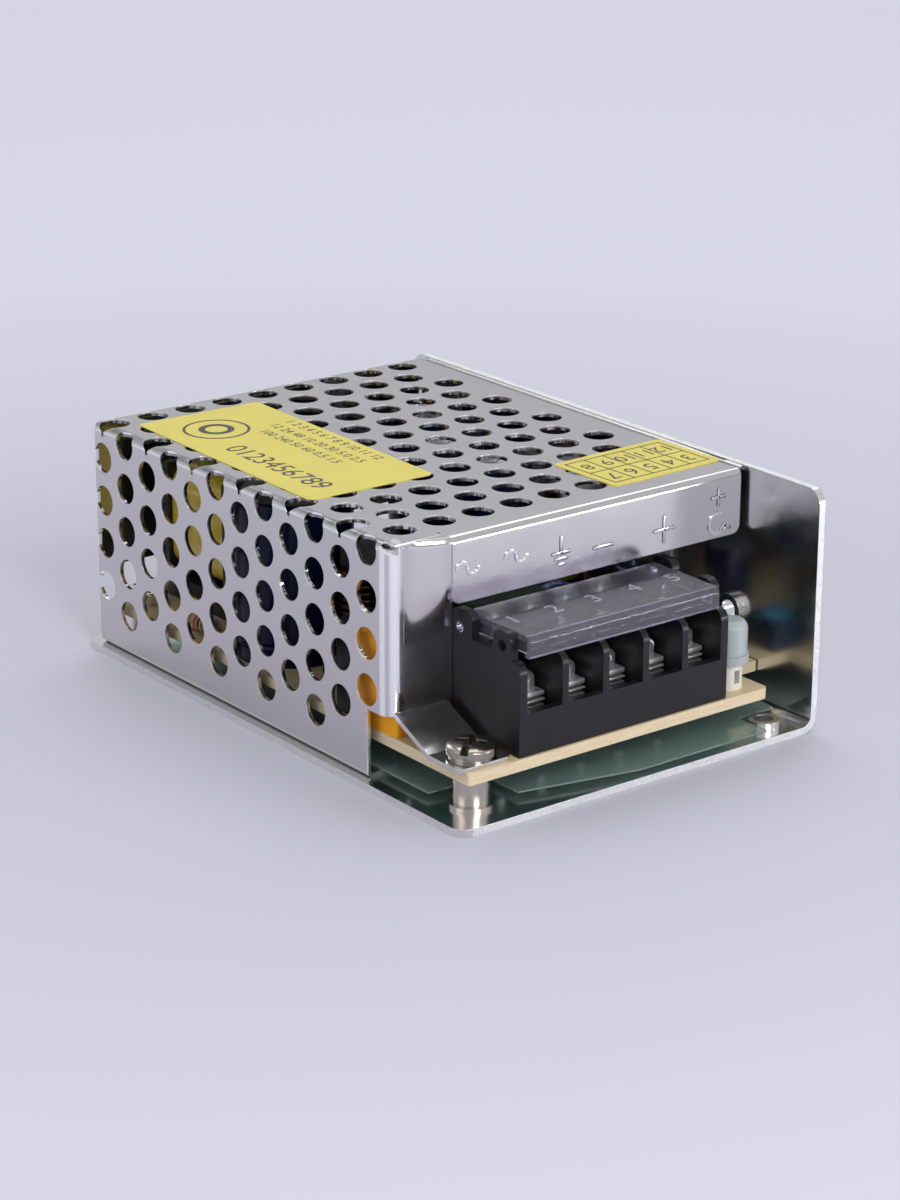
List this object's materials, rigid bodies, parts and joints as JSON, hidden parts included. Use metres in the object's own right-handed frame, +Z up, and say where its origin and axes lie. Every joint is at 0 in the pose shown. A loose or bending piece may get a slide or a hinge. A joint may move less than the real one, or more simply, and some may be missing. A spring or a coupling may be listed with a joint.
{
  "type": "mesh case switching power supply",
  "caption": "Open L-shaped sheet chassis with a perforated folded cover over a power board, and a barrier terminal block with a clear hinged flap in front.",
  "frame": {"origin": "centre of the chassis underside", "axes": "+X along the terminal block to the upright wall, +Y to the back of the case, +Z up"},
  "size_m": [0.0602, 0.0856, 0.033],
  "materials": {
    "bright_aluminium": "bright rolled",
    "plated_steel": "bright plated",
    "nickel": "bright nickel",
    "board_laminate": "satin",
    "clear_film": "clear film",
    "black_moulding": "satin",
    "tinned_brass": "tin plated",
    "clear_flap": "clear smoky plastic",
    "led_lens": "milky",
    "blue_plastic": "gloss",
    "ivory_plastic": "satin",
    "yellow_box": "gloss",
    "ferrite": "matt ferrite",
    "copper_wire": "enamelled",
    "ceramic": "matt",
    "green_dip": "gloss",
    "navy_sleeve": "gloss",
    "yellow_tape": "gloss tape",
    "grey_rubber": "matt",
    "yellow_label": "satin print"
  },
  "bodies": {
    "case": {"base_chassis": "bright_aluminium", "mesh_cover": "plated_steel", "cover_screws": "nickel", "circuit_board": "board_laminate", "insulating_sheet": "clear_film", "spacer_front": "nickel", "spacer_rear_left": "nickel", "spacer_rear_right": "nickel", "foot_screw": "nickel", "board_screw_left": "nickel", "board_screw_right": "nickel", "terminal_block": "black_moulding", "terminal_contacts": "tinned_brass", "indicator_led": "led_lens", "led_spacer": "ivory_plastic", "trimmer_body": "blue_plastic", "line_capacitor": "yellow_box", "line_choke_core": "ferrite", "line_choke_coils": "copper_wire", "fuse": "ceramic", "thermistor": "green_dip", "varistor": "blue_plastic", "bridge_rectifier": "black_moulding", "reservoir_capacitor": "navy_sleeve", "transformer_core": "ferrite", "transformer_bobbin": "black_moulding", "transformer_winding": "yellow_tape", "switch_transistor": "black_moulding", "rectifier_diode": "black_moulding", "insulating_pads": "grey_rubber", "device_screws": "nickel", "device_nuts": "nickel", "output_capacitor_1": "navy_sleeve", "output_capacitor_2": "navy_sleeve", "output_capacitor_3": "navy_sleeve", "output_choke": "copper_wire", "safety_capacitor": "blue_plastic", "optocoupler": "black_moulding", "controller_chip": "black_moulding", "film_capacitor": "green_dip", "auxiliary_capacitors": "navy_sleeve", "resistors": "ceramic", "large_label": "yellow_label", "small_label": "yellow_label"},
    "clamp_1": {"clamp_plate_1": "nickel"},
    "clamp_2": {"clamp_plate_2": "nickel"},
    "clamp_3": {"clamp_plate_3": "nickel"},
    "clamp_4": {"clamp_plate_4": "nickel"},
    "clamp_5": {"clamp_plate_5": "nickel"},
    "screw_1": {"terminal_screw_1": "nickel"},
    "screw_2": {"terminal_screw_2": "nickel"},
    "screw_3": {"terminal_screw_3": "nickel"},
    "screw_4": {"terminal_screw_4": "nickel"},
    "screw_5": {"terminal_screw_5": "nickel"},
    "flap": {"terminal_flap": "clear_flap"},
    "rotor": {"trimmer_rotor": "ivory_plastic"}
  },
  "joints": [
    {"name": "flap_hinge", "type": "hinge", "parent": "case", "child": "flap", "pos_m": [-0.00135, -0.0283, 0.0207], "axis": [-1, 0, 0], "range_deg": [0, 45]},
    {"name": "clamp_slide_1", "type": "slide", "parent": "case", "child": "clamp_1", "axis": [0, 0, 1], "range_m": [-0.00035, 0.00165]},
    {"name": "screw_turn_1", "type": "hinge", "parent": "clamp_1", "child": "screw_1", "pos_m": [-0.01435, -0.0341, 0.0136], "axis": [0, 0, 1], "range_deg": [-253, 1189]},
    {"name": "clamp_slide_2", "type": "slide", "parent": "case", "child": "clamp_2", "axis": [0, 0, 1], "range_m": [-0.00035, 0.00165]},
    {"name": "screw_turn_2", "type": "hinge", "parent": "clamp_2", "child": "screw_2", "pos_m": [-0.00785, -0.0341, 0.0136], "axis": [0, 0, 1], "range_deg": [-253, 1189]},
    {"name": "clamp_slide_3", "type": "slide", "parent": "case", "child": "clamp_3", "axis": [0, 0, 1], "range_m": [-0.00035, 0.00165]},
    {"name": "screw_turn_3", "type": "hinge", "parent": "clamp_3", "child": "screw_3", "pos_m": [-0.00135, -0.0341, 0.0136], "axis": [0, 0, 1], "range_deg": [-253, 1189]},
    {"name": "clamp_slide_4", "type": "slide", "parent": "case", "child": "clamp_4", "axis": [0, 0, 1], "range_m": [-0.00035, 0.00165]},
    {"name": "screw_turn_4", "type": "hinge", "parent": "clamp_4", "child": "screw_4", "pos_m": [0.00515, -0.0341, 0.0136], "axis": [0, 0, 1], "range_deg": [-253, 1189]},
    {"name": "clamp_slide_5", "type": "slide", "parent": "case", "child": "clamp_5", "axis": [0, 0, 1], "range_m": [-0.00035, 0.00165]},
    {"name": "screw_turn_5", "type": "hinge", "parent": "clamp_5", "child": "screw_5", "pos_m": [0.01165, -0.0341, 0.0136], "axis": [0, 0, 1], "range_deg": [-253, 1189]},
    {"name": "trimmer_turn", "type": "hinge", "parent": "case", "child": "rotor", "pos_m": [0.0213, -0.0286, 0.0108], "axis": [0, 0, 1], "range_deg": [-120, 120]}
  ],
  "couplings": [
    {"joint": "screw_turn_1", "follows": "clamp_slide_1", "rad_per_m": 12566},
    {"joint": "screw_turn_2", "follows": "clamp_slide_2", "rad_per_m": 12566},
    {"joint": "screw_turn_3", "follows": "clamp_slide_3", "rad_per_m": 12566},
    {"joint": "screw_turn_4", "follows": "clamp_slide_4", "rad_per_m": 12566},
    {"joint": "screw_turn_5", "follows": "clamp_slide_5", "rad_per_m": 12566}
  ]
}
